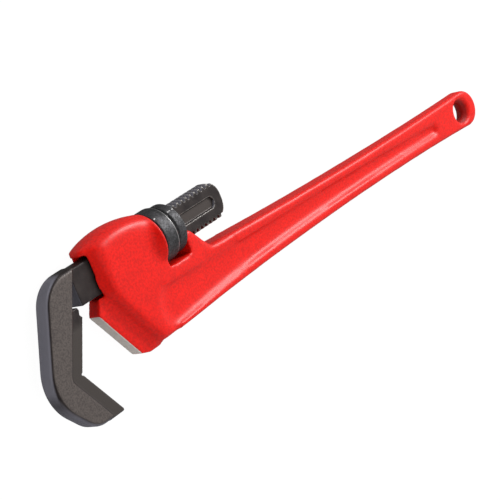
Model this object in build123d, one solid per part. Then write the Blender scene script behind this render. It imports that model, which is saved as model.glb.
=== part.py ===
from build123d import *
import math
import os

# Hex pipe wrench with smooth parallel jaws, lying on its side.
# Origin: centre of the hang hole, at half the thickness of the handle.
# +X runs along the jaw screw from the hook to the hang hole, +Y from the handle to the jaw screw,
# +Z is up, across the thickness of the tool.

# ---- Driving dimensions, in millimetres -------------------------------------------------------
# Handle
handle_reach = 359.5         # hang hole to the front wall of the nut window
hang_hole_radius = 6.6
hang_hole_length = 4.8       # straight part of the hole, between its two countersinks
end_radius = 14.3            # rounded end of the handle round the hang hole
end_lead = 7.2               # centre of that rounding, beyond the hang hole
neck_setback = 20.0          # window to the foot of the step behind it
neck_top = 25.8              # top edge at that foot
neck_land = 6.0              # level strip between the window and that step
middle_top = 18.3            # top edge half way along the handle
waist_bottom = -7.5          # bottom edge at the handle's waist
root_bottom = -10.6          # bottom edge under the housing
neck_half_thickness = 12.2
shaft_half_thickness = 9.9
grip_half_thickness = 9.2
end_half_thickness = 6.9
panel_lead = 19.0            # window to the front end of the sunk panel, under the housing
panel_setback = 43.1         # hang hole to the rear corners of the panel
panel_front_round = 10.0
panel_rear_round = 8.0
panel_rear_y = 0.8           # rearmost point of the panel
rail_tops = (7.6, 5.2, 7.3)  # raised rail above the panel, at its front, half way and at its rear
rail_bottoms = (6.1, 5.3, 7.8)  # raised rail below it, at the same places
panel_sink = 3.4
panel_draw = 0.75            # slope of the panel's walls
panel_level = 10.3           # height over the middle at which the walls meet the drawn outline
panel_round = 2.5
casting_round = 3.2
chin_radius = 4.0
neck_radius = 8.0
horn_radius = 2.0
crown_round = 4.5

# Head of the casting
screw_height = 48.8          # hang hole axis to jaw screw axis
head_half_thickness = 14.0
head_length = 61.0           # nose of the housing to the window
nose_chamfer = 10.5
crown_radius = 24.6          # roof of the housing over the screw axis, at its highest
nose_crown_radius = 19.4
rim_radius = 20.2            # round rim in front of the nut
rim_flare = 15.0             # length over which the side swells out to the rim
rim_land = 2.6               # round strip next to the nut
rim_edge = 1.3
flare_sink = 1.5             # start of the swelling, inside the flat side
flare_sag = 1.4              # its bow outwards
horn_height = 43.4           # top of the two horns behind the nut
horn_front_height = 40.4     # top of their face towards the nut
horn_tip_length = 4.0        # window to the middle of their tops
horn_top_length = 4.0
horn_foot_length = 18.0      # window to the foot of their slope
horn_foot_rise = 3.0
lap = 6.0                    # by which a raised shape reaches into the body it stands on
mouth_length = 8.0           # slope of the passage's roof at the nose
mouth_drop = 1.9
heel_half_thickness = 5.4
heel_setback = 50.3          # heel face to the window, at the height of the hang hole
heel_top = 25.5
heel_bottom = -11.0
heel_underside = -13.5
heel_toe_length = 7.5        # slope from the heel face down to the underside
heel_round = 2.5
heel_depth = 13.0            # slim heel jaw in front of the thick housing
heel_root_length = 24.0      # slope of the underside up to the housing
heel_step = 1.0              # nose of the housing to the front of the heel under it
face_angle = 60.0            # slope of the jaw faces against the screw axis

# Hook jaw
jaw_opening = 38.7           # across the flats of the nut that the jaws hold at rest
corner_y = 0.7               # corner of the hook's two flats
hook_half_thickness = 6.5
shank_half_thickness = 5.5
hook_top = 62.5
hook_end = -34.8             # flat lower end of the hook
hook_depth = 30.8            # corner of the flats to the corner of the two slopes of the back
hook_back_y = -5.1           # that corner of the back, before it is rounded
hook_back_slope = 65.0       # of the upper part of the back
hook_toe_slope = 50.0        # of the lower part
hook_shoulder_round = 24.0
hook_back_round = 32.0
hook_toe_round = 18.0
hook_flat_length = 35.8      # long flat, up to the undercut below the shank
hook_relief_radius = 2.7     # that undercut
hook_corner_relief = 0.8     # drilled relief at the corner of the flats
hook_tip_round = 1.2
hook_band = 9.0              # slim band along the two flats
hook_band_round = 5.0        # inner corner of the thick part along that band
hook_band_lap = 4.0          # by which the slim band reaches into the thick part
hook_round = 3.0
shank_tail = 51.0            # shank behind the window at rest
slot_half_height = 4.0
slot_sink = 1.8
slot_end_wall = 8.0
slot_length = 80.0

# Jaw screw
thread_major_radius = 13.5
thread_depth = 2.0
thread_pitch = 4.5
thread_front = 40.0          # thread in front of the window at rest

# Adjusting nut
nut_radius = 19.0
nut_length = 23.0
nut_band_length = 12.6
collar_radius = 17.4
nut_chamfer = 1.2
nut_groove_depth = 1.2
nut_groove_width = 1.6

# Springs
leaf_thickness = 0.9
leaf_half_width = 5.0
leaf_length = 34.0
leaf_setback = 12.0          # nose of the housing to the free end of the leaf
leaf_seat_length = 12.0      # flat part against the roof
rivet_setback = 5.0          # rear end of the leaf to the rivet
rivet_radius = 1.4
rivet_head_radius = 2.4
rivet_head_thickness = 1.0
rivet_length = 4.0            # into the roof of the housing
coil_setback = 26.0          # nose of the housing to the coil spring
coil_height = 13.5
coil_wire_radius = 0.6
coil_mean_radius = 3.4
coil_turns = 5.0

# Fits
nut_float = 0.25             # on each side of the nut in its window
thread_clearance = 0.35
flank_clearance = 0.25
passage_clearance = 0.9      # between the shank and its passage
pocket_clearance = 0.6
spring_gap = 0.3
seat_gap = 0.05
cutter_margin = 0.6          # by which a thread cutter runs past the surface it cuts

# ---- Places worked out from the sizes above --------------------------------------------------
window_front = -handle_reach
window_rear = window_front + nut_length + 2 * nut_float
window_floor = screw_height - nut_radius - 0.6
nose_x = window_front - head_length
rise = math.sin(math.radians(face_angle))
run = math.cos(math.radians(face_angle))
heel_x = window_front - heel_setback
corner_x = heel_x - (jaw_opening + corner_y * run) / rise
crest_edge = math.sqrt(thread_major_radius**2 - shank_half_thickness**2)
passage_radius = thread_major_radius + passage_clearance
passage_half_width = shank_half_thickness + passage_clearance
roof_height = screw_height + thread_major_radius + 3.6
shank_neck_y = screw_height - thread_major_radius + thread_depth

leaf_rear_x = nose_x + leaf_setback + leaf_length
rivet_x = leaf_rear_x - rivet_setback
coil_x = nose_x + coil_setback
coil_floor = screw_height - thread_major_radius - coil_height

screw_frame = Plane(origin=(window_front, screw_height, 0), x_dir=(0, 1, 0), z_dir=(1, 0, 0))
screw_axis = Axis((0, screw_height, 0), (1, 0, 0))


def slab(half_thickness):
    """Everything within half_thickness of the middle plane."""
    return Box(4000, 4000, 2 * half_thickness)


def heel_point(depth, height):
    """Point at a given height, this far behind the heel face."""
    return (heel_x - height * run / rise + depth / rise, height)


def long_flat(height, depth):
    """Point of the hook's long flat at a given height, or this far into the steel behind it."""
    return (corner_x + ((height - corner_y) * run - depth) / rise, height)


def short_flat(height, depth):
    """Point of the hook's short flat at a given height, or this far into the steel behind it."""
    return (corner_x + ((corner_y - height) * run - depth) / rise, height)


def plate(face, half_thickness):
    """Flat plate of a side view, centred on the middle plane."""
    return extrude(Pos(0, 0, -half_thickness) * face, amount=2 * half_thickness, dir=(0, 0, 1))


# ---- Casting ---------------------------------------------------------------------------------
def waist_joint(waist):
    """Point where the bottom edge, level at the waist, runs smoothly into the rounded end."""
    length = end_lead - waist[0]
    radius = (length**2 + waist[1]**2 - end_radius**2) / (2 * (end_radius + waist[1]))
    share = end_radius / (radius + end_radius)
    return (end_lead - length * share, (waist[1] - radius) * share)


def handle_and_housing():
    """Side view of the handle and of the thick lower half of the housing."""
    front_low = (nose_x, (heel_depth + (heel_x - nose_x) * rise) / run)
    chin = heel_point(heel_depth, root_bottom)
    middle_x = -0.5 * handle_reach
    waist = (-0.55 * handle_reach, waist_bottom)
    joint = waist_joint(waist)
    neck = (window_rear + neck_setback, neck_top)
    outline = [
        Polyline((nose_x, screw_height), front_low, chin),
        TangentArc(waist, chin, tangent=(-1, 0)),
        TangentArc(waist, joint, tangent=(1, 0)),
        ThreePointArc(joint, (end_lead + end_radius, 0), (end_lead, end_radius)),
        Line((end_lead, end_radius), (0, end_radius)),
        ThreePointArc((0, end_radius), (middle_x, middle_top), neck),
        Polyline(
            neck,
            (window_rear + neck_land, window_floor),
            (window_front, window_floor),
            (window_front, screw_height),
            (nose_x, screw_height),
        ),
    ]
    face = make_face(outline)
    face = fillet(face.vertices().sort_by_distance(chin)[:1], chin_radius)
    return fillet(face.vertices().sort_by_distance(neck)[:1], neck_radius)


def horn_view():
    """Side view of the horns that rise behind the nut, either side of the shank."""
    tip = window_rear + horn_tip_length
    foot = window_rear + horn_foot_length
    face = make_face(Polyline(
        (window_rear, window_floor - lap),
        (window_rear, horn_front_height),
        (tip - 0.5 * horn_top_length, horn_height),
        (tip + 0.5 * horn_top_length, horn_height),
        (foot, neck_top + horn_foot_rise),
        (foot + lap, neck_top - lap),
        close=True,
    ))
    tops = face.vertices().sort_by(Axis.Y)[-3:]
    return fillet(tops, horn_radius)


def plan_solid(sink):
    """Everything inside the tool's thickness seen from above, less sink on both sides."""
    stations = [
        (window_front - rim_flare, head_half_thickness),
        (window_rear + neck_land, neck_half_thickness),
        (-0.7 * handle_reach, shaft_half_thickness),
        (-0.4 * handle_reach, grip_half_thickness),
        (end_lead + end_radius + 1, end_half_thickness),
    ]
    near = [(x, -200, z - sink) for x, z in stations]
    far = [(x, -200, sink - z) for x, z in reversed(stations)]
    cheek_x = nose_x + nose_chamfer
    nose_half = head_half_thickness - nose_chamfer - sink
    face = make_face([
        Polyline((nose_x, -200, -nose_half), (nose_x, -200, nose_half), (cheek_x, *near[0][1:]), near[0]),
        Spline(*near, tangents=[(1, 0, 0), (1, 0, 0)]),
        Line(near[-1], far[0]),
        Spline(*far, tangents=[(-1, 0, 0), (-1, 0, 0)]),
        Polyline(far[-1], (cheek_x, *far[-1][1:]), (nose_x, -200, -nose_half)),
    ])
    return extrude(face, amount=400, dir=(0, 1, 0))


def panel_view(inset):
    """Outline of the long sunk panel, drawn in by inset on every side."""
    front_x = window_front - panel_lead + inset
    middle_x = -0.5 * handle_reach
    rear_x = -panel_setback
    top = [
        (front_x + panel_front_round, neck_top - rail_tops[0] - inset),
        (middle_x, middle_top - rail_tops[1] - inset),
        (rear_x, end_radius - rail_tops[2] - inset),
    ]
    low = [
        (front_x + 0.5 * panel_front_round, root_bottom + rail_bottoms[0] + inset),
        (middle_x, waist_bottom + rail_bottoms[1] + inset),
        (rear_x, rail_bottoms[2] - end_radius + inset),
    ]
    front = (front_x, 0.5 * (top[0][1] + low[0][1]))
    rear = (rear_x + panel_rear_round - inset, panel_rear_y)
    return make_face([
        ThreePointArc(*top),
        ThreePointArc(top[-1], rear, low[-1]),
        ThreePointArc(*reversed(low)),
        ThreePointArc(low[0], front, top[0]),
    ])


def panel_cutter():
    """Cutter for the long sunk panel in the upper side, with sloped walls."""
    outlines = []
    for level in (end_half_thickness - panel_sink - 1, head_half_thickness + 1):
        outlines.append(Pos(0, 0, level) * panel_view(panel_draw * (panel_level - level)))
    return loft(outlines, ruled=True) - plan_solid(panel_sink)


def screw_revolve(face):
    """Solid of revolution about the jaw screw."""
    return revolve(face, screw_axis)


def crown_view():
    """Half section of the housing's barrel, from its nose to the window."""
    middle_x = nose_x + 0.48 * head_length
    return make_face([
        Line((nose_x, screw_height), (nose_x, screw_height + nose_crown_radius)),
        ThreePointArc(
            (nose_x, screw_height + nose_crown_radius),
            (middle_x, screw_height + crown_radius),
            (window_front, screw_height + rim_radius - 1),
        ),
        Polyline(
            (window_front, screw_height + rim_radius - 1),
            (window_front, screw_height),
            (nose_x, screw_height),
        ),
    ])


def flare_view():
    """Half section of the round rim in front of the nut, which swells out of the flat sides."""
    rim_top = screw_height + rim_radius
    side = screw_height + head_half_thickness
    start = (window_front - rim_flare, side - flare_sink)
    shoulder = (window_front - rim_land, rim_top)
    return make_face([
        ThreePointArc(start, (window_front - 0.42 * rim_flare, side + flare_sag), shoulder),
        Polyline(
            shoulder,
            (window_front - rim_edge, rim_top),
            (window_front, rim_top - rim_edge),
            (window_front, screw_height),
            (start[0], screw_height),
            start,
        ),
    ])


def heel_view():
    """Side view of the slim heel jaw in front of the thick housing."""
    top = heel_point(0, heel_top)
    bottom = heel_point(0, heel_bottom)
    toe = (bottom[0] + heel_toe_length, heel_underside)
    root = heel_point(heel_depth, heel_underside)
    face = make_face(Polyline(
        (nose_x + heel_step, screw_height),
        (nose_x + heel_step, screw_height - passage_radius),
        top,
        bottom,
        toe,
        root,
        (root[0] + heel_root_length, 0.5 * root_bottom),
        heel_point(heel_depth + lap, screw_height),
        close=True,
    ))
    ends = [face.vertices().sort_by_distance(point)[0] for point in (top, bottom, toe)]
    return fillet(ends, heel_round)


def passage():
    """Way for the shank through the housing and between the horns, with room for the leaf spring."""
    front = nose_x - lap
    rear = window_rear + 60
    round_way = Plane(origin=(front, screw_height, 0), z_dir=(1, 0, 0)) * Cylinder(
        passage_radius, rear - front, align=(Align.CENTER, Align.CENTER, Align.MIN)
    )
    way = round_way & slab(passage_half_width)
    open_top = Pos(window_front - 1, screw_height, 0) * Box(
        rear - window_front, 60, 2 * passage_half_width, align=(Align.MIN, Align.MIN, Align.CENTER)
    )
    roof = plate(make_face(Polyline(
        (front, screw_height),
        (front, roof_height - mouth_drop),
        (nose_x, roof_height - mouth_drop),
        (nose_x + mouth_length, roof_height),
        (leaf_rear_x + 2, roof_height),
        (leaf_rear_x + 2, screw_height),
        close=True,
    )), passage_half_width)
    return way + open_top + roof


def hang_hole():
    """Cutter for the hang hole and its countersinks."""
    depth = end_half_thickness + 1
    wide = hang_hole_radius + depth - 0.5 * hang_hole_length
    profile = make_face(Polyline(
        (0, 0, -depth),
        (wide, 0, -depth),
        (hang_hole_radius, 0, -0.5 * hang_hole_length),
        (hang_hole_radius, 0, 0.5 * hang_hole_length),
        (wide, 0, depth),
        (0, 0, depth),
        close=True,
    ))
    return revolve(profile, Axis.Z)


def spring_seats():
    """Blind hole for the rivet in the roof and round pocket for the coil spring under the shank."""
    rivet_hole = Cylinder(rivet_radius + 0.1, 2 * (rivet_length + 0.3))
    pocket_radius = coil_mean_radius + coil_wire_radius + pocket_clearance
    pocket = Cylinder(pocket_radius, coil_height, align=(Align.CENTER, Align.CENTER, Align.MIN))
    upright = Rot(-90, 0, 0)
    return Pos(rivet_x, roof_height, 0) * upright * rivet_hole + Pos(coil_x, coil_floor, 0) * upright * pocket


def is_outer_rim(place):
    """True on the long outside edges of the handle and of the slope behind the heel."""
    return abs(place.Z) > end_half_thickness - 1 and place.Y < window_floor - 1


def is_crown_crease(place):
    """True where the housing's flat sides meet its barrel roof and its chamfered nose."""
    on_side = abs(abs(place.Z) - head_half_thickness) < 0.1
    return on_side and (place.Y > screw_height + 10 or abs(place.X - nose_x - nose_chamfer) < 0.3)


def edges_at(body, places):
    """The body's edges whose middles lie at the given places, on either side of the tool."""
    chosen = []
    for edge in body.edges():
        middle = edge.center()
        above = Vector(middle.X, middle.Y, abs(middle.Z))
        if min((above - place).length for place in places) < 0.05:
            chosen.append(edge)
    return chosen


def build_casting():
    plan = plan_solid(0)
    above_screw = Pos(nose_x, screw_height + 50, 0) * Box(400, 100, 100)
    window = Pos(window_front, window_floor, 0) * Box(
        window_rear - window_front, 100, 100, align=(Align.MIN, Align.MIN, Align.CENTER)
    )
    body = plate(handle_and_housing(), 30) & plan
    body += screw_revolve(crown_view()) & slab(head_half_thickness) & plan & above_screw
    rims = [edge.center() for edge in body.edges() if is_outer_rim(edge.center()) and edge.center().Z > 0]
    body = fillet([edge for edge in body.edges() if is_crown_crease(edge.center())], crown_round)
    body = fillet(edges_at(body, rims), casting_round)
    panel = panel_cutter()
    floor = [edge.center() for edge in panel.edges() if edge.center().Z < neck_half_thickness - 1]
    body = body - panel - mirror(panel, Plane.XY)
    body = fillet(edges_at(body, floor), panel_round)
    body += screw_revolve(flare_view())
    body += plate(horn_view(), 30) & plan
    body += plate(heel_view(), heel_half_thickness)
    body -= window
    body -= passage()
    body -= hang_hole()
    body -= spring_seats()
    return body


# ---- Jaw screw ---------------------------------------------------------------------------------
def helical_bar(inner, outer, inner_width, outer_width, first_angle, last_angle):
    """Bar of trapezoid section wound along the screw, at pitch * angle / 360 from the screw frame."""
    mean = 0.5 * (inner + outer)
    path = Helix(thread_pitch, thread_pitch * (last_angle - first_angle) / 360, mean)
    section = make_face(Polyline(
        (inner, 0, -0.5 * inner_width),
        (outer, 0, -0.5 * outer_width),
        (outer, 0, 0.5 * outer_width),
        (inner, 0, 0.5 * inner_width),
        close=True,
    ))
    bar = sweep(section, path=path, is_frenet=True)
    return Pos(0, 0, thread_pitch * first_angle / 360) * Rot(0, 0, first_angle) * bar


def thread_width(radius):
    """Width of the shank's tooth at a radius, on 29 degree flanks with half a pitch at mid depth."""
    middle = thread_major_radius - 0.5 * thread_depth
    return 0.5 * thread_pitch - 2 * (radius - middle) * math.tan(math.radians(14.5))


def shank_grooves():
    """The gaps between the shank's teeth, cut in both narrow edges."""
    inner = thread_major_radius - thread_depth
    outer = thread_major_radius + cutter_margin
    runout = 6
    half_angle = math.degrees(math.asin(shank_half_thickness / inner)) + runout
    first = math.floor(-thread_front / thread_pitch)
    last = math.ceil((window_rear - window_front + shank_tail) / thread_pitch)
    grooves = []
    for side in (0, 180):
        groove = helical_bar(
            inner,
            outer,
            thread_pitch - thread_width(inner),
            thread_pitch - thread_width(outer),
            side - half_angle,
            side + half_angle,
        )
        for turn in range(first, last):
            grooves.append(screw_frame * Pos(0, 0, turn * thread_pitch) * groove)
    return grooves


# ---- Hook jaw ----------------------------------------------------------------------------------
def hook_view():
    """Side view of the thick part of the hook, outside the slim band along its two flats."""
    back = (corner_x - hook_depth, hook_back_y)
    shoulder = (back[0] + (hook_top - back[1]) / math.tan(math.radians(hook_back_slope)), hook_top)
    toe = (back[0] + (back[1] - hook_end) / math.tan(math.radians(hook_toe_slope)), hook_end)
    inside = (corner_x - hook_band / rise, corner_y)
    face = make_face(Polyline(
        long_flat(hook_top, hook_band),
        shoulder,
        back,
        toe,
        short_flat(hook_end, hook_band),
        inside,
        close=True,
    ))
    for corner, radius in (
        (shoulder, hook_shoulder_round),
        (back, hook_back_round),
        (toe, hook_toe_round),
        (inside, hook_band_round),
    ):
        face = fillet(face.vertices().sort_by_distance(corner)[:1], radius)
    return face


def band_view():
    """Side view of the slim band that carries the two flats."""
    reach = hook_band + hook_band_lap
    root_y = shank_neck_y + 0.5 * hook_relief_radius
    notch = long_flat(corner_y + hook_flat_length * rise, 0)
    tip = short_flat(hook_end, 0)
    face = make_face(Polyline(
        long_flat(root_y, reach),
        (notch[0] - 1, root_y),
        notch,
        (corner_x, corner_y),
        tip,
        short_flat(hook_end, reach),
        (corner_x - reach / rise, corner_y),
        close=True,
    ))
    return fillet(face.vertices().sort_by_distance(tip)[:1], hook_tip_round)


def shank_view():
    """Side view of the shank, from inside the hook to its rounded tail."""
    tail = window_rear + shank_tail
    low = screw_height - thread_major_radius
    high = screw_height + thread_major_radius
    front = long_flat(hook_top, hook_band)[0] - hook_band_lap
    thread_start = window_front - thread_front
    face = make_face(Polyline(
        (front, shank_neck_y),
        (thread_start - thread_depth, shank_neck_y),
        (thread_start, low),
        (tail, low),
        (tail, high),
        (front, high),
        close=True,
    ))
    return fillet(face.vertices().group_by(Axis.X)[-1], thread_major_radius - thread_depth)


def is_hook_outside(place):
    """True on the edges of the thick hook, apart from the step down to the slim band."""
    depth = rise * (corner_x - place.X) + run * abs(place.Y - corner_y)
    return abs(place.Z) > 1 and depth > hook_band + 2.5


def build_hook():
    slot_rear = window_rear + shank_tail - slot_end_wall
    round_bar = Plane(origin=(corner_x, screw_height, 0), z_dir=(1, 0, 0)) * Cylinder(
        thread_major_radius, 400, align=(Align.CENTER, Align.CENTER, Align.MIN)
    )
    shank = plate(shank_view(), shank_half_thickness) & round_bar
    slot = Pos(slot_rear - 0.5 * slot_length, screw_height, 0) * extrude(
        SlotOverall(slot_length, 2 * slot_half_height), amount=20
    )
    slot = Pos(0, 0, shank_half_thickness - slot_sink) * slot
    shank = shank - slot - mirror(slot, Plane.XY)
    shank = shank - shank_grooves()
    thick = plate(hook_view(), hook_half_thickness)
    outer = [edge for edge in thick.edges() if is_hook_outside(edge.center())]
    thick = fillet(outer, hook_round)
    band = plate(band_view(), shank_half_thickness)
    undercut = long_flat(corner_y + (hook_flat_length + hook_relief_radius) * rise, 0)
    relief = Pos(undercut[0], undercut[1], 0) * Cylinder(hook_relief_radius, 40)
    corner = Pos(corner_x, corner_y, 0) * Cylinder(hook_corner_relief, 40)
    return thick + band + shank - relief - corner


# ---- Adjusting nut -----------------------------------------------------------------------------
def nut_profile():
    """Half section of the nut: wide band, groove and collar, over its threaded bore."""
    front = nut_float
    rear = nut_float + nut_length
    band_end = front + nut_band_length
    bore = thread_major_radius - thread_depth + thread_clearance
    groove_radius = collar_radius - nut_groove_depth
    return make_face(Polyline(
        (bore + 1, 0, front),
        (nut_radius - nut_chamfer, 0, front),
        (nut_radius, 0, front + nut_chamfer),
        (nut_radius, 0, band_end - nut_chamfer),
        (nut_radius - nut_chamfer, 0, band_end),
        (groove_radius, 0, band_end),
        (groove_radius, 0, band_end + nut_groove_width),
        (collar_radius, 0, band_end + nut_groove_width + nut_groove_depth),
        (collar_radius, 0, rear - nut_chamfer),
        (collar_radius - nut_chamfer, 0, rear),
        (bore + 1, 0, rear),
        (bore, 0, rear - 1),
        (bore, 0, front + 1),
        close=True,
    ))


def build_nut():
    """Nut that turns in the window and carries the shank's thread."""
    inner = thread_major_radius - thread_depth + thread_clearance - cutter_margin
    outer = thread_major_radius + thread_clearance
    turn = helical_bar(
        inner,
        outer,
        thread_width(inner) + 2 * flank_clearance,
        thread_width(outer) + 2 * flank_clearance,
        0,
        360,
    )
    turns = math.ceil(nut_length / thread_pitch) + 1
    groove = [Pos(0, 0, (count + 0.5) * thread_pitch) * turn for count in range(-2, turns)]
    return screw_frame * (revolve(nut_profile(), Axis.Z) - groove)


# ---- Springs and rivet -------------------------------------------------------------------------
def build_leaf():
    """Flat spring riveted under the roof, its free end bent down to the shank's crest."""
    top = roof_height - seat_gap
    tip = (nose_x + leaf_setback, screw_height + thread_major_radius + spring_gap)
    bend_x = leaf_rear_x - leaf_seat_length
    fall = 0.35 * (top - tip[1] - leaf_thickness)
    middle = (0.5 * (tip[0] + bend_x), top - leaf_thickness - fall)
    face = make_face([
        Line((leaf_rear_x, top), (bend_x, top)),
        ThreePointArc(
            (bend_x, top),
            (middle[0], middle[1] + leaf_thickness),
            (tip[0], tip[1] + leaf_thickness),
        ),
        Line((tip[0], tip[1] + leaf_thickness), tip),
        ThreePointArc(tip, middle, (bend_x, top - leaf_thickness)),
        Line((bend_x, top - leaf_thickness), (leaf_rear_x, top - leaf_thickness)),
        Line((leaf_rear_x, top - leaf_thickness), (leaf_rear_x, top)),
    ])
    hole = Pos(rivet_x, roof_height, 0) * Rot(90, 0, 0) * Cylinder(rivet_radius + 0.1, 20)
    return plate(face, leaf_half_width) - hole


def build_rivet():
    """Rivet that holds the flat spring: a head below it and a stem up into the roof."""
    under = roof_height - seat_gap - leaf_thickness - seat_gap
    upward = (Align.CENTER, Align.CENTER, Align.MIN)
    stem = Cylinder(rivet_radius, rivet_length + roof_height - under, align=upward)
    head = Pos(0, 0, -rivet_head_thickness) * Cylinder(
        rivet_head_radius, rivet_head_thickness, align=upward
    )
    return Plane(origin=(rivet_x, under, 0), z_dir=(0, 1, 0)) * (stem + head)


def build_coil():
    """Coil spring standing in its pocket below the shank."""
    base = Plane(origin=(coil_x, coil_floor + seat_gap + coil_wire_radius, 0), z_dir=(0, 1, 0))
    height = coil_height - seat_gap - spring_gap - 2 * coil_wire_radius
    path = Helix(height / coil_turns, height, coil_mean_radius)
    section = Plane(origin=path @ 0, z_dir=path % 0) * Rectangle(2 * coil_wire_radius, 2 * coil_wire_radius)
    return base * sweep(section, path=path, is_frenet=True)


parts = {
    "handle_casting": build_casting(),
    "hook_jaw": build_hook(),
    "adjusting_nut": build_nut(),
    "flat_spring": build_leaf(),
    "coil_spring": build_coil(),
    "spring_rivet": build_rivet(),
}
os.makedirs("parts", exist_ok=True)
for name, solid in parts.items():
    export_step(solid, f"parts/{name}.step")
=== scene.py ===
"""Looks of a hex pipe wrench with smooth jaws, lying on its side on a pale floor.

The casting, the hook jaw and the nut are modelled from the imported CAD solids, softened as the
foundry, the forge and the lathe leave them, and dressed in enamel, forged steel and turned steel.
"""
import sys

import logging
from dataclasses import dataclass
from enum import Enum
from typing import Any

import bpy
from mathutils import Matrix, Vector


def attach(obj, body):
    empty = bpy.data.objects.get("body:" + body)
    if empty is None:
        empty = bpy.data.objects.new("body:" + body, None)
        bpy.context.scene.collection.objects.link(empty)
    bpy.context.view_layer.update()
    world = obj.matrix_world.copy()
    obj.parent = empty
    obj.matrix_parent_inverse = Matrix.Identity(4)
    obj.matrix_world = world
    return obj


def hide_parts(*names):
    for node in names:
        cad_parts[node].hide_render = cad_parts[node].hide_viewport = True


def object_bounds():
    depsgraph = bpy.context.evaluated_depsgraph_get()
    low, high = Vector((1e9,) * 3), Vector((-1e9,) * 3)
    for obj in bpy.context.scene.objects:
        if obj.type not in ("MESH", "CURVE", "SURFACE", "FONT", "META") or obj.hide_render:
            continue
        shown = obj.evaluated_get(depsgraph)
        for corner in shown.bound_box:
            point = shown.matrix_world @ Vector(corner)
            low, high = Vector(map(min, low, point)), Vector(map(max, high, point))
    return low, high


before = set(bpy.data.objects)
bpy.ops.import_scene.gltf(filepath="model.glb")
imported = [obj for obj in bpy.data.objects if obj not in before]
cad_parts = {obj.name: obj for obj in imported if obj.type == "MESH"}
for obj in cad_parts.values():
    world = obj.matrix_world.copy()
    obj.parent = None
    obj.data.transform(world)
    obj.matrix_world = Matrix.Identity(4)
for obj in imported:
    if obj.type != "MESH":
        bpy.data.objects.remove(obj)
cad_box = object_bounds()

log = logging.getLogger("hex_wrench")

MM = 0.001
# corners of loose triangles that lie this near to each other are one corner
MERGE_MM = 0.002
# how far one smoothing round draws a point towards the middle of its neighbours
SMOOTHING = 0.5
WHITE = (1.0, 1.0, 1.0, 1.0)
# nearly all of a noise lies between these two values
NOISE_LOW = 0.2
NOISE_HIGH = 0.8

Colour = tuple[float, float, float, float]
Point = tuple[float, float, float]
Range = tuple[float, float]
Socket = bpy.types.NodeSocket
Owner = bpy.types.Material | bpy.types.World


class Body(Enum):
    """The CAD bodies that the pieces ride on."""

    FRAME = "frame"
    HOOK = "hook"
    NUT = "nut"


class Slot(Enum):
    """The record's material slots, one named for each new piece."""

    CASTING = "casting"
    HOOK = "hook_steel"
    NUT = "nut_steel"


class Measure(Enum):
    """What a finish can measure of the surface, on the piece itself."""

    PLACE = "Object"
    FACING = "Normal"


def linear(hex_value: str) -> Colour:
    """Turn an sRGB hex value into a linear colour.

    Args:
        hex_value: Six hex digits after a hash sign.

    Returns:
        The colour's linear red, green, blue and an alpha of 1.
    """
    channels = []
    for start in (1, 3, 5):
        value = int(hex_value[start : start + 2], 16) / 255
        channels.append(value / 12.92 if value <= 0.04045 else ((value + 0.055) / 1.055) ** 2.4)
    return (*channels, 1.0)


def per_metre(size_mm: float) -> float:
    """Give the texture scale whose features are about this many millimetres apart."""
    return 1.0 / (size_mm * MM)


def add_node(
    owner: Owner,
    kind: str,
    settings: dict[str, Any] | None = None,
    inputs: dict[str | int, Any] | None = None,
) -> bpy.types.Node:
    """Add one shader node with its settings, values and links.

    Args:
        owner: The material or world whose tree gets the node.
        kind: The node's type.
        settings: Attributes of the node.
        inputs: For each input, a plain value or the socket that feeds it.

    Returns:
        The new node.
    """
    tree = owner.node_tree
    node = tree.nodes.new(kind)
    for name, value in (settings or {}).items():
        setattr(node, name, value)
    for name, value in (inputs or {}).items():
        if isinstance(value, Socket):
            tree.links.new(value, node.inputs[name])
        else:
            node.inputs[name].default_value = value
    return node


def new_material(name: str) -> bpy.types.Material:
    """Make an empty node material.

    Args:
        name: The finish's name.

    Returns:
        A material whose tree has no nodes yet.
    """
    material = bpy.data.materials.new(name)
    material.use_nodes = True
    material.node_tree.nodes.clear()
    return material


def grain(
    material: bpy.types.Material, size_mm: float, detail: float = 2.0, stretch: Point = (1, 1, 1)
) -> Socket:
    """Lay a noise of a real size over the piece.

    Args:
        material: The material that gets the nodes.
        size_mm: Distance between the noise's features, in millimetres.
        detail: Octaves of finer noise.
        stretch: Scale of the pattern along X, Y and Z; less than 1 draws it out.

    Returns:
        A socket from 0 to 1.
    """
    place = add_node(material, "ShaderNodeTexCoord").outputs[Measure.PLACE.value]
    spread = add_node(material, "ShaderNodeMapping", {}, {"Vector": place, "Scale": stretch})
    noise = add_node(
        material,
        "ShaderNodeTexNoise",
        {},
        {"Vector": spread.outputs["Vector"], "Scale": per_metre(size_mm), "Detail": detail},
    )
    return noise.outputs["Fac"]


def measured(
    material: bpy.types.Material, what: Measure, way: Point, either_way: bool = False
) -> Socket:
    """Measure where the surface lies, or how it faces, along a direction.

    Args:
        material: The material that gets the nodes.
        what: Whether its place or its facing is measured.
        way: The unit direction.
        either_way: Whether the sign is dropped, so that both sides of the middle plane are alike.

    Returns:
        A socket, in metres for a place and as a cosine for a facing.
    """
    vector = add_node(material, "ShaderNodeTexCoord").outputs[what.value]
    along = add_node(
        material, "ShaderNodeVectorMath", {"operation": "DOT_PRODUCT"}, {0: vector, 1: way}
    ).outputs["Value"]
    if not either_way:
        return along
    return add_node(material, "ShaderNodeMath", {"operation": "ABSOLUTE"}, {0: along}).outputs[0]


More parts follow.
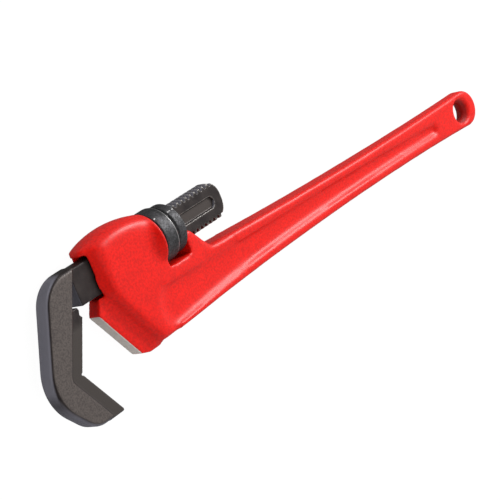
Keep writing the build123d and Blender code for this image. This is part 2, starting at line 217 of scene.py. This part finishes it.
def measured_from_hole(material: bpy.types.Material) -> Socket:
    """Measure how far the surface lies from the hang hole's axis, which is the Z axis.

    Args:
        material: The material that gets the nodes.

    Returns:
        A socket, in metres.
    """
    place = add_node(material, "ShaderNodeTexCoord").outputs[Measure.PLACE.value]
    flat = add_node(
        material, "ShaderNodeVectorMath", {"operation": "MULTIPLY"}, {0: place, 1: (1, 1, 0)}
    )
    size = add_node(material, "ShaderNodeVectorMath", {"operation": "LENGTH"}, {0: flat.outputs[0]})
    return size.outputs["Value"]


@dataclass(frozen=True)
class Ramp:
    """A value that goes from one end to the other as a measure of the surface does.

    Attributes:
        measure: A place, a cosine, a pattern or a mask.
        start: Measure at which the value leaves its first end.
        full: Measure at which it reaches its second; below the start where the value rises
            as the measure falls.
        first: The value's first end.
        second: Its second end.
    """

    measure: Socket
    start: float = 0.0
    full: float = 1.0
    first: float = 0.0
    second: float = 1.0


def step_at(measure: Socket, at_mm: float, margin_mm: float, above: bool = True) -> Ramp:
    """Make a soft step at a distance.

    Args:
        measure: The distance's socket, in metres.
        at_mm: Where the step is half done.
        margin_mm: Half its width.
        above: Whether it is full above that distance, or below it.

    Returns:
        A ramp from 0 to 1.
    """
    low = (at_mm - margin_mm) * MM
    high = (at_mm + margin_mm) * MM
    return Ramp(measure, low, high) if above else Ramp(measure, high, low)


def multiplied(owner: Owner, *ramps: Ramp) -> Socket:
    """Run measures through their ramps and multiply the results.

    Args:
        owner: The material or world that gets the nodes.
        *ramps: The ramps, at least one.

    Returns:
        The result's socket.
    """
    total: Socket | None = None
    for ramp in ramps:
        low, high, ends = ramp.start, ramp.full, (ramp.first, ramp.second)
        if low > high:
            low, high, ends = high, low, (ramp.second, ramp.first)
        value = add_node(
            owner,
            "ShaderNodeMapRange",
            {},
            {
                "Value": ramp.measure,
                "From Min": low,
                "From Max": high,
                "To Min": ends[0],
                "To Max": ends[1],
            },
        ).outputs["Result"]
        if total is not None:
            both = {0: total, 1: value}
            value = add_node(owner, "ShaderNodeMath", {"operation": "MULTIPLY"}, both).outputs[0]
        total = value
    return total


@dataclass(frozen=True)
class Layer:
    """A colour laid over those before it.

    Attributes:
        colour: Its hex value, or the socket that gives it.
        ramps: How far it shows: 0 to 1 each, multiplied.
    """

    colour: str | Socket
    ramps: tuple[Ramp, ...]


def layered(material: bpy.types.Material, base: str | Socket, *layers: Layer) -> Socket:
    """Lay colours over a base, one after the other.

    Args:
        material: The material that gets the nodes.
        base: The first colour's hex value, or the socket that gives it.
        *layers: The colours over it.

    Returns:
        The last colour's socket.
    """
    tone: Colour | Socket = linear(base) if isinstance(base, str) else base
    for layer in layers:
        over = linear(layer.colour) if isinstance(layer.colour, str) else layer.colour
        share = multiplied(material, *layer.ramps)
        mixed = add_node(
            material, "ShaderNodeMix", {"data_type": "RGBA"}, {0: share, 6: tone, 7: over}
        )
        tone = mixed.outputs[2]
    return tone


@dataclass(frozen=True)
class Relief:
    """A height pattern pressed into a surface.

    Attributes:
        pattern: The pattern's socket.
        depth_mm: Its depth.
        strength: Share of it that shows.
    """

    pattern: Socket
    depth_mm: float
    strength: float


def embossed(material: bpy.types.Material, *reliefs: Relief) -> Socket:
    """Press height patterns into a surface, one over the other.

    Args:
        material: The material that gets the nodes.
        *reliefs: The patterns, the broadest first.

    Returns:
        The normal's socket.
    """
    normal: Socket | None = None
    for relief in reliefs:
        inputs = {
            "Height": relief.pattern,
            "Distance": relief.depth_mm * MM,
            "Strength": relief.strength,
        }
        if normal is not None:
            inputs["Normal"] = normal
        normal = add_node(material, "ShaderNodeBump", {}, inputs).outputs["Normal"]
    return normal


def select_only(piece: bpy.types.Object) -> None:
    """Deselect everything, then select one piece and make it active.

    Args:
        piece: The object that the next operator works on.
    """
    bpy.ops.object.select_all(action="DESELECT")
    piece.select_set(True)
    bpy.context.view_layer.objects.active = piece


def apply_modifier(piece: bpy.types.Object, kind: str, **settings: Any) -> None:
    """Add a modifier to a piece and apply it.

    Args:
        piece: The mesh object.
        kind: The modifier's type.
        **settings: The modifier's attributes.
    """
    select_only(piece)
    modifier = piece.modifiers.new(kind.lower(), kind)
    for name, value in settings.items():
        setattr(modifier, name, value)
    bpy.ops.object.modifier_apply(modifier=modifier.name)


def merged_copy(node: str, name: str) -> bpy.types.Object:
    """Copy a CAD node into a new object with its loose triangles joined up.

    Args:
        node: Name of the CAD node.
        name: Name of the new piece.

    Returns:
        The new piece, at the origin.
    """
    piece = bpy.data.objects.new(name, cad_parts[node].data.copy())
    piece.data.materials.clear()
    bpy.context.scene.collection.objects.link(piece)
    select_only(piece)
    bpy.ops.object.mode_set(mode="EDIT")
    bpy.ops.mesh.select_all(action="SELECT")
    bpy.ops.mesh.remove_doubles(threshold=MERGE_MM * MM)
    bpy.ops.object.mode_set(mode="OBJECT")
    return piece


@dataclass(frozen=True)
class CastEnamel:
    """Ductile iron, sand cast, shot blasted and dipped in glossy red enamel, its heel face ground.

    To the eye that is an even, strong red with a soft shine along every rounded edge, over the
    fine pebbling of the sand mould, and one bare grey face with the marks of a grinding wheel.
    """

    red: str = "#E61103"
    red_thin: str = "#B20F08"
    red_deep: str = "#C60F06"
    # the hang hole's wall, painted darker as the shade that lies in the hole
    red_painted_hole_shade: str = "#8E0F0A"
    hole_radius_mm: float = 9.4
    hole_margin_mm: float = 0.8
    bare: str = "#F9EFE7"
    bare_dull: str = "#D3CAC3"
    # plane just under the skin of the heel face, which leans 60 degrees to the screw
    heel_normal: Point = (-0.8660254, -0.5, 0.0)
    heel_reach_mm: float = 354.6
    heel_margin_mm: float = 0.08
    paint_ior: float = 1.45
    paint_specular: float = 0.2
    paint_roughness: Range = (0.40, 0.52)
    coat: float = 0.32
    coat_roughness: float = 0.36
    bare_metallic: float = 0.2
    bare_roughness: Range = (0.32, 0.5)
    # sand of about 0.4 mm, drawn at 1.6 mm so that it shows at arm's length
    sand_mm: float = 1.6
    # slow waves of the mould wall and of the paint
    wave_mm: float = 14.0
    # grinding lines, 0.5 mm apart and drawn out along the face
    grind_mm: float = 0.5

    def build(self) -> bpy.types.Material:
        """Build the material.

        Returns:
            Red enamel over a sand casting, and bare ground iron on the heel face.
        """
        material = new_material("cast_iron_red_enamel")
        sand = grain(material, self.sand_mm)
        wave = grain(material, self.wave_mm)
        point = add_node(material, "ShaderNodeNewGeometry").outputs["Pointiness"]
        hole = measured_from_hole(material)
        tone = layered(
            material,
            self.red,
            Layer(self.red_deep, (Ramp(sand, start=0.62, full=0.30),)),
            Layer(self.red_deep, (Ramp(wave, start=0.35, full=0.75, second=0.25),)),
            Layer(self.red_thin, (Ramp(point, start=0.53, full=0.62),)),
            # painted shade in the hang hole
            Layer(
                self.red_painted_hole_shade,
                (step_at(hole, self.hole_radius_mm, self.hole_margin_mm, above=False),),
            ),
        )
        gloss = Ramp(sand, NOISE_LOW, NOISE_HIGH, *self.paint_roughness)
        enamel = add_node(
            material,
            "ShaderNodeBsdfPrincipled",
            {},
            {
                "Base Color": tone,
                "Roughness": multiplied(material, gloss),
                "IOR": self.paint_ior,
                "Specular IOR Level": self.paint_specular,
                "Coat Weight": self.coat,
                "Coat Roughness": self.coat_roughness,
                "Normal": embossed(
                    material,
                    Relief(wave, depth_mm=0.3, strength=0.2),
                    Relief(sand, depth_mm=0.18, strength=0.6),
                ),
            },
        )
        lines = grain(material, self.grind_mm, detail=3.0, stretch=(1.0, 1.0, 0.06))
        gloss = Ramp(lines, NOISE_LOW, NOISE_HIGH, *self.bare_roughness)
        ground = add_node(
            material,
            "ShaderNodeBsdfPrincipled",
            {},
            {
                "Base Color": layered(material, self.bare, Layer(self.bare_dull, (Ramp(lines),))),
                "Metallic": self.bare_metallic,
                "Roughness": multiplied(material, gloss),
                "Normal": embossed(material, Relief(lines, depth_mm=0.05, strength=0.6)),
            },
        )
        out = measured(material, Measure.PLACE, self.heel_normal)
        face = multiplied(material, step_at(out, self.heel_reach_mm, self.heel_margin_mm))
        mixed = add_node(
            material,
            "ShaderNodeMixShader",
            {},
            {"Fac": face, 1: enamel.outputs["BSDF"], 2: ground.outputs["BSDF"]},
        )
        add_node(material, "ShaderNodeOutputMaterial", {}, {"Surface": mixed.outputs[0]})
        return material


@dataclass(frozen=True)
class ForgedSteel:
    """Drop-forged alloy steel, hardened, with its oil-quenched scale left on.

    To the eye that is a nearly black brown-grey skin with a dull shine, and paler, warmer sides
    where shot blasting and the trimming of the forging's flash took the scale off. The hook's
    underside and its outer back get a cooler, lighter grey as a painted reflection of the pale
    floor; the slot's floor is between the skin and the sides in tone; creases are painted darker
    as painted shade, and the thread's crests lighter, partly as wear and partly as a painted
    highlight.
    """

    scale: str = "#262020"
    scale_light: str = "#3B3432"
    # painted reflection of the pale floor, on the hook's underside and outer back
    back: str = "#918F9A"
    slot: str = "#4A4340"
    band: str = "#48423F"
    side: str = "#645C58"
    side_dark: str = "#504947"
    # painted crease shade, laid into creases and hollows
    grime_and_crease_shade: str = "#1E1A19"
    # crests of the thread lighter, partly as wear and partly as a painted highlight
    rubbed_and_glint: str = "#B9B5B0"
    metallic: float = 0.5
    roughness: Range = (0.40, 0.55)
    # X at which the thread starts, behind which its crests are worn and carry a painted highlight
    thread_start_mm: float = -402.0
    # ways that the hook's underside and its outer back face, on which the floor's reflection is
    # painted
    under: Point = (-0.3, -0.95, 0.0)
    outward: Point = (-0.8, 0.6, 0.0)
    # X in front of which the hook stands clear of the housing, and Y under which it is all jaw
    hook_rear_mm: float = -425.0
    jaw_top_mm: float = 28.0
    # heights over the middle plane, over which the sides lie, and under which the slot's floor does
    side_height_mm: float = 6.0
    slot_height_mm: float = 4.9
    # shot-blast pits of about 0.4 mm, drawn at 1.0 mm so that they show
    pit_mm: float = 1.0
    # patches of scale
    patch_mm: float = 9.0

    def build(self) -> bpy.types.Material:
        """Build the material.

        Returns:
            Dark scaled steel with paler blasted sides, worn crests with a painted highlight,
            painted crease shade and a painted floor reflection underneath.
        """
        material = new_material("forged_steel_scaled")
        pits = grain(material, self.pit_mm, detail=3.0)
        patches = grain(material, self.patch_mm, detail=3.0)
        point = add_node(material, "ShaderNodeNewGeometry").outputs["Pointiness"]
        forward = measured(material, Measure.PLACE, (-1.0, 0.0, 0.0))
        backward = measured(material, Measure.PLACE, (1.0, 0.0, 0.0))
        down = measured(material, Measure.PLACE, (0.0, -1.0, 0.0))
        height = measured(material, Measure.PLACE, (0.0, 0.0, 1.0), either_way=True)
        clear = step_at(forward, -self.hook_rear_mm, margin_mm=3.0)
        # faces that look down and outward, where the floor's reflection is painted
        below = Ramp(measured(material, Measure.FACING, self.under), start=0.3, full=0.95)
        outer = Ramp(measured(material, Measure.FACING, self.outward), start=0.6, full=0.8)
        sideways = measured(material, Measure.FACING, (0.0, 0.0, 1.0), either_way=True)
        flat = Ramp(sideways, start=0.86, full=0.97)
        skin = layered(
            material,
            self.scale,
            Layer(self.scale_light, (Ramp(patches, start=0.35, full=0.7),)),
            # painted reflection of the pale floor on the faces that look down and outward
            Layer(self.back, (below, clear)),
            Layer(self.back, (outer,)),
            Layer(self.band, (flat, step_at(down, -self.jaw_top_mm, margin_mm=2.0))),
        )
        side = layered(
            material, self.side, Layer(self.side_dark, (Ramp(pits, start=0.62, full=0.35),))
        )
        spotty = Ramp(pits, start=0.4, full=0.6, first=0.2, second=0.8)
        thread = step_at(backward, self.thread_start_mm, margin_mm=2.0)
        sunk = step_at(height, self.slot_height_mm, margin_mm=0.25, above=False)
        tone = layered(
            material,
            skin,
            Layer(side, (flat, step_at(height, self.side_height_mm, margin_mm=0.3))),
            Layer(self.slot, (flat, sunk)),
            # painted shade in the creases
            Layer(self.grime_and_crease_shade, (Ramp(point, start=0.49, full=0.44),)),
            # thread crests lighter, partly as wear and partly as a painted highlight
            Layer(self.rubbed_and_glint, (Ramp(point, start=0.51, full=0.56), spotty, thread)),
        )
        gloss = Ramp(pits, NOISE_LOW, NOISE_HIGH, *self.roughness)
        steel = add_node(
            material,
            "ShaderNodeBsdfPrincipled",
            {},
            {
                "Base Color": tone,
                "Metallic": self.metallic,
                "Roughness": multiplied(material, gloss),
                "Normal": embossed(material, Relief(pits, depth_mm=0.12, strength=0.5)),
            },
        )
        add_node(material, "ShaderNodeOutputMaterial", {}, {"Surface": steel.outputs["BSDF"]})
        return material


@dataclass(frozen=True)
class TurnedSteel:
    """Bar steel turned on a lathe and blackened in hot oil.

    To the eye that is a cool, dark grey with fine rings round the axis, which draw the shine
    out across the band and catch a glint on the chamfers. Its creases are painted darker as painted
    shade, and its edges and the band's rear edge lighter, partly as wear and partly as a painted
    glint.
    """

    black: str = "#454546"
    black_worn: str = "#5E5D60"
    # edges lighter, partly as wear and partly as a painted glint
    rubbed_and_glint: str = "#C9C7C6"
    # dark specks of the blackening, and painted shade in the creases
    grime_and_crease_shade: str = "#1C1B1B"
    metallic: float = 0.8
    roughness: Range = (0.46, 0.62)
    # feed marks of 0.3 mm, drawn at 0.7 mm so that they show
    feed_mm: float = 0.7
    # specks of the blackening, and larger oil stains
    speck_mm: float = 1.3
    stain_mm: float = 6.0
    # the band's rear edge, which the thumb keeps bright and polished, and which is painted lighter
    # as a glint too
    edge_front_mm: float = -348.3
    edge_rear_mm: float = -346.4
    edge_margin_mm: float = 0.2

    def build(self) -> bpy.types.Material:
        """Build the material.

        Returns:
            Blackened steel with turning rings.
        """
        material = new_material("turned_steel_blackened")
        rings = grain(material, self.feed_mm, stretch=(1.0, 0.04, 0.04))
        stain = grain(material, self.stain_mm, detail=3.0)
        specks = grain(material, self.speck_mm, detail=3.0)
        point = add_node(material, "ShaderNodeNewGeometry").outputs["Pointiness"]
        backward = measured(material, Measure.PLACE, (1.0, 0.0, 0.0))
        forward = measured(material, Measure.PLACE, (-1.0, 0.0, 0.0))
        edge = multiplied(
            material,
            step_at(backward, self.edge_front_mm, self.edge_margin_mm),
            step_at(forward, -self.edge_rear_mm, self.edge_margin_mm),
        )
        tone = layered(
            material,
            self.black,
            Layer(self.black_worn, (Ramp(stain, start=0.35, full=0.7),)),
            Layer(self.grime_and_crease_shade, (Ramp(specks, start=0.4, full=0.7, second=0.6),)),
            # painted shade in the creases
            Layer(self.grime_and_crease_shade, (Ramp(point, start=0.49, full=0.44),)),
            # edges lighter, partly as wear and partly as a painted glint
            Layer(self.rubbed_and_glint, (Ramp(point, start=0.515, full=0.58),)),
            # the band's rear edge painted lighter as a glint, over its real polish
            Layer(self.rubbed_and_glint, (Ramp(edge, second=0.6),)),
        )
        gloss = Ramp(specks, NOISE_LOW, NOISE_HIGH, *self.roughness)
        polish = Ramp(edge, first=1.0, second=0.6)
        steel = add_node(
            material,
            "ShaderNodeBsdfPrincipled",
            {},
            {
                "Base Color": tone,
                "Metallic": self.metallic,
                "Roughness": multiplied(material, gloss, polish),
                "Normal": embossed(
                    material,
                    Relief(specks, depth_mm=0.1, strength=0.5),
                    Relief(rings, depth_mm=0.04, strength=0.4),
                ),
            },
        )
        add_node(material, "ShaderNodeOutputMaterial", {}, {"Surface": steel.outputs["BSDF"]})
        return material


@dataclass(frozen=True)
class SpringSteel:
    """Cold-rolled spring steel, tempered blue-grey.

    To the eye that is a smooth, slightly bluish metal with faint lines along the rolling.
    """

    steel: str = "#77797E"
    steel_dark: str = "#5A5B61"
    metallic: float = 1.0
    roughness: Range = (0.25, 0.38)
    # rolling lines, about 0.1 mm apart, drawn at 0.6 mm so that they show
    roll_mm: float = 0.6

    def build(self) -> bpy.types.Material:
        """Build the material.

        Returns:
            Smooth spring steel.
        """
        material = new_material("spring_steel_tempered")
        lines = grain(material, self.roll_mm, stretch=(0.08, 1.0, 1.0))
        gloss = Ramp(lines, NOISE_LOW, NOISE_HIGH, *self.roughness)
        steel = add_node(
            material,
            "ShaderNodeBsdfPrincipled",
            {},
            {
                "Base Color": layered(material, self.steel, Layer(self.steel_dark, (Ramp(lines),))),
                "Metallic": self.metallic,
                "Roughness": multiplied(material, gloss),
                "Normal": embossed(material, Relief(lines, depth_mm=0.03, strength=0.4)),
            },
        )
        add_node(material, "ShaderNodeOutputMaterial", {}, {"Surface": steel.outputs["BSDF"]})
        return material


@dataclass(frozen=True)
class SoftZone:
    """A box in which a casting's surfaces run into each other more gently.

    Attributes:
        low: Lowest corner, in millimetres; its Z counts on both sides of the middle plane.
        high: Highest corner, in millimetres.
        fade: Width over which the softening dies out inside the box, in millimetres.
        rounds: Number of smoothing rounds.
    """

    low: Point
    high: Point
    fade: float
    rounds: int

    def soften(self, piece: bpy.types.Object) -> None:
        """Smooth the piece inside the box.

        Args:
            piece: The mesh object.
        """
        group = piece.vertex_groups.new(name="soft_zone")
        for vertex in piece.data.vertices:
            place = (vertex.co.x / MM, vertex.co.y / MM, abs(vertex.co.z) / MM)
            sides = zip(place, self.low, self.high)
            depth = min(min(value - low, high - value) for value, low, high in sides)
            if depth > 0:
                group.add([vertex.index], min(1.0, depth / self.fade), "REPLACE")
        apply_modifier(
            piece,
            "SMOOTH",
            factor=SMOOTHING,
            iterations=self.rounds,
            vertex_group=group.name,
        )
        piece.vertex_groups.clear()


@dataclass
class SoftenedPart:
    """A CAD solid softened as its maker leaves it: remeshed finely and smoothed.

    Attributes:
        node: The CAD node.
        body: The CAD body it moves with.
        slot: The record's material slot; not used.
        voxel: Edge of the remeshing grid, in metres.
        rounds: Number of smoothing rounds.
        zones: Places that are smoothed further.
    """

    node: str
    body: Body
    slot: Slot
    voxel: float
    rounds: int
    zones: tuple[SoftZone, ...] = ()

    def build(self, material: bpy.types.Material) -> bpy.types.Object:
        """Build the softened piece and let it stand for its CAD node.

        Args:
            material: The piece's finish.

        Returns:
            The piece.
        """
        piece = merged_copy(self.node, self.node + "_soft")
        apply_modifier(piece, "REMESH", mode="VOXEL", voxel_size=self.voxel, adaptivity=0.0)
        apply_modifier(piece, "SMOOTH", factor=SMOOTHING, iterations=self.rounds)
        for zone in self.zones:
            zone.soften(piece)
        select_only(piece)
        bpy.ops.object.shade_smooth()
        piece.data.materials.append(material)
        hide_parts(self.node)
        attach(piece, self.body.value)
        log.info("%s: %d faces", piece.name, len(piece.data.polygons))
        return piece


@dataclass
class HandleCasting(SoftenedPart):
    """The red casting: handle, housing, heel jaw and horns."""

    node: str = "handle_casting"
    body: Body = Body.FRAME
    slot: Slot = Slot.CASTING
    voxel: float = 1.0 * MM
    rounds: int = 5
    zones: tuple[SoftZone, ...] = (
        # the swelling in front of the nut
        SoftZone((-384.0, 26.0, 9.0), (-361.5, 66.0, 21.0), 3.0, 60),
        # the ridge between the housing's flat sides and its barrel roof
        SoftZone((-423.0, 48.0, 6.0), (-360.5, 76.0, 18.0), 3.0, 110),
        # the horns' rear corners, and the step down from them to the handle
        SoftZone((-335.0, 30.0, 6.0), (-312.0, 50.0, 16.0), 3.0, 50),
        SoftZone((-330.0, 14.0, 6.0), (-290.0, 34.0, 16.0), 3.0, 60),
        # the front corners of the housing's flat sides
        SoftZone((-421.0, 5.0, 7.0), (-398.0, 72.0, 16.0), 3.0, 25),
        # the window's lower edges
        SoftZone((-356.0, 22.0, 8.5), (-338.5, 32.0, 16.0), 2.0, 40),
        # the wall behind the slim heel
        SoftZone((-420.0, -12.0, 4.4), (-370.0, 36.0, 15.5), 3.0, 140),
        # the sunk panel's walls, which run into its floor in a broad sweep
        SoftZone((-386.0, -6.8, 2.0), (-290.0, 21.0, 13.6), 3.0, 70),
        SoftZone((-300.0, -5.6, 2.0), (-190.0, 16.5, 12.0), 3.0, 35),
        SoftZone((-200.0, -5.0, 2.0), (-60.0, 12.6, 10.0), 3.0, 35),
        SoftZone((-90.0, -6.6, 2.0), (-24.0, 7.2, 9.0), 4.0, 60),
    )


@dataclass
class HookJaw(SoftenedPart):
    """The forged hook with its threaded shank."""

    node: str = "hook_jaw"
    body: Body = Body.HOOK
    slot: Slot = Slot.HOOK
    voxel: float = 0.53 * MM
    rounds: int = 2


@dataclass
class AdjustingNut(SoftenedPart):
    """The turned nut in its window."""

    node: str = "adjusting_nut"
    body: Body = Body.NUT
    slot: Slot = Slot.NUT
    voxel: float = 0.35 * MM
    rounds: int = 8


@dataclass
class Springs:
    """The flat spring, its rivet and the coil spring, which keep their CAD shapes."""

    nodes: tuple[str, ...] = ("flat_spring", "coil_spring", "spring_rivet")

    def build(self, material: bpy.types.Material) -> None:
        """Dress the springs.

        Args:
            material: Their finish.
        """
        for name in self.nodes:
            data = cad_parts[name].data
            data.materials.clear()
            data.materials.append(material)
            log.info("dressed %s", name)


@dataclass(frozen=True)
class Lamp:
    """A square soft box.

    Attributes:
        name: Its name.
        direction: Where it hangs, seen from the tool.
        distance: How far from the tool, in metres.
        size: Edge of the box, in metres.
        power: In watts.
        mirrored: Whether it shows in the shine of the pieces.
    """

    name: str
    direction: Point
    distance: float
    size: float
    power: float
    mirrored: bool = True


@dataclass
class Studio:
    """Pale floor, soft lamps and the camera.

    Attributes:
        camera_place: Where the camera stands, in metres.
        camera_right: The camera's own X axis.
        camera_up: Its Y axis.
        camera_back: Its Z axis, from the tool to the camera.
        lens: Focal length, in millimetres.
        sensor_width: Width of the sensor, in millimetres.
        view_depth: How far the camera sees, in metres.
        target: Middle of the tool, at which the lamps point, in metres.
        floor_size: Edge of the floor, in metres.
        floor_gap: Room between the floor and the tool, in metres.
        floor_colour: Colour of the matt share of the floor.
        floor_white: Strength of its own white, a little over 1 because that is only a share.
        floor_glow: Share of its own white in what the camera sees of it.
        floor_in_metal: Strength at which it shows in the shine of the pieces.
        world_light: Strength of the world all round.
        world_dark: Its strength straight behind the camera.
        world_fall: Cosines to the camera's axis between which it falls from one to the other.
        lamps: The soft boxes.
    """

    camera_place: Point = (-1.1083, 0.2793, 0.8322)
    camera_right: Point = (0.595, -0.363, 0.717)
    camera_up: Point = (0.413, 0.903, 0.115)
    camera_back: Point = (-0.69, 0.228, 0.687)
    lens: float = 126.15
    sensor_width: float = 36.0
    view_depth: float = 20.0
    target: Point = (-0.25, 0.02, 0.0)
    floor_size: float = 12.0
    floor_gap: float = 0.1 * MM
    floor_colour: Colour = (0.65, 0.65, 0.65, 1.0)
    floor_white: float = 1.06
    floor_glow: float = 0.92
    floor_in_metal: float = 0.15
    world_light: float = 0.58
    world_dark: float = 0.10
    world_fall: Range = (0.3, 1.0)
    lamps: tuple[Lamp, ...] = (
        Lamp("top", (0.68, 0.43, 0.58), 1.5, 0.5, 19.5),
        Lamp("front", (-0.42, -0.02, 0.91), 1.6, 0.8, 12.0, False),
    )

    def build(self) -> None:
        """Build the camera, the floor, the world and the lamps."""
        self.build_camera()
        self.build_floor()
        self.build_world()
        for lamp in self.lamps:
            self.build_lamp(lamp)

    def build_camera(self) -> None:
        """Set up the camera."""
        data = bpy.data.cameras.new("camera")
        data.lens = self.lens
        data.sensor_width = self.sensor_width
        data.clip_end = self.view_depth
        camera = bpy.data.objects.new("camera", data)
        bpy.context.scene.collection.objects.link(camera)
        columns = (self.camera_right, self.camera_up, self.camera_back)
        turn = Matrix([[column[row] for column in columns] for row in range(3)])
        camera.matrix_world = Matrix.Translation(self.camera_place) @ turn.to_4x4()
        bpy.context.scene.camera = camera

    def build_floor(self) -> None:
        """Lay a large matt white floor just under the tool.

        What the camera and the metal see of it is mostly its own white, under a faint shadow.
        """
        bpy.ops.object.select_all(action="DESELECT")
        low = cad_box[0][2] - self.floor_gap
        bpy.ops.mesh.primitive_plane_add(size=self.floor_size, location=(0, 0, low))
        floor = bpy.context.active_object
        floor.name = "floor"
        material = new_material("matt_white_floor")
        path = add_node(material, "ShaderNodeLightPath")
        matt = add_node(material, "ShaderNodeBsdfDiffuse", {}, {"Color": self.floor_colour})
        glow = add_node(
            material, "ShaderNodeEmission", {}, {"Color": WHITE, "Strength": self.floor_white}
        )
        dim = add_node(
            material, "ShaderNodeEmission", {}, {"Color": WHITE, "Strength": self.floor_in_metal}
        )
        share = add_node(
            material,
            "ShaderNodeMath",
            {"operation": "MULTIPLY"},
            {0: path.outputs["Is Camera Ray"], 1: self.floor_glow},
        )
        mixed = add_node(
            material,
            "ShaderNodeMixShader",
            {},
            {"Fac": share.outputs[0], 1: matt.outputs[0], 2: glow.outputs[0]},
        )
        mixed = add_node(
            material,
            "ShaderNodeMixShader",
            {},
            {"Fac": path.outputs["Is Glossy Ray"], 1: mixed.outputs[0], 2: dim.outputs[0]},
        )
        add_node(material, "ShaderNodeOutputMaterial", {}, {"Surface": mixed.outputs[0]})
        floor.data.materials.append(material)

    def build_world(self) -> None:
        """Light the scene softly from all round, less from the side where the camera stands."""
        world = bpy.data.worlds.new("studio")
        world.use_nodes = True
        world.node_tree.nodes.clear()
        towards = add_node(world, "ShaderNodeTexCoord").outputs["Generated"]
        along = add_node(
            world,
            "ShaderNodeVectorMath",
            {"operation": "DOT_PRODUCT"},
            {0: towards, 1: self.camera_back},
        )
        fall = Ramp(along.outputs["Value"], *self.world_fall, self.world_light, self.world_dark)
        strength = multiplied(world, fall)
        soft = add_node(world, "ShaderNodeBackground", {}, {"Color": WHITE, "Strength": strength})
        add_node(world, "ShaderNodeOutputWorld", {}, {"Surface": soft.outputs[0]})
        bpy.context.scene.world = world

    def build_lamp(self, lamp: Lamp) -> None:
        """Hang one soft box, turned to the tool.

        Args:
            lamp: The soft box.
        """
        data = bpy.data.lights.new(lamp.name, "AREA")
        data.size = lamp.size
        data.energy = lamp.power
        box = bpy.data.objects.new(lamp.name, data)
        box.visible_glossy = lamp.mirrored
        bpy.context.scene.collection.objects.link(box)
        aim = -Vector(lamp.direction).normalized()
        place = Vector(self.target) - aim * lamp.distance
        turn = aim.to_track_quat("-Z", "Y").to_matrix()
        box.matrix_world = Matrix.Translation(place) @ turn.to_4x4()


def main() -> None:
    """Build every piece in order and report it."""
    logging.basicConfig(level=logging.INFO, format="%(name)s: %(message)s", stream=sys.stdout)
    Studio().build()
    log.info("studio ready")
    HandleCasting().build(CastEnamel().build())
    HookJaw().build(ForgedSteel().build())
    AdjustingNut().build(TurnedSteel().build())
    Springs().build(SpringSteel().build())
    bpy.context.scene.view_settings.view_transform = "Standard"


if __name__ == "__main__":
    main()
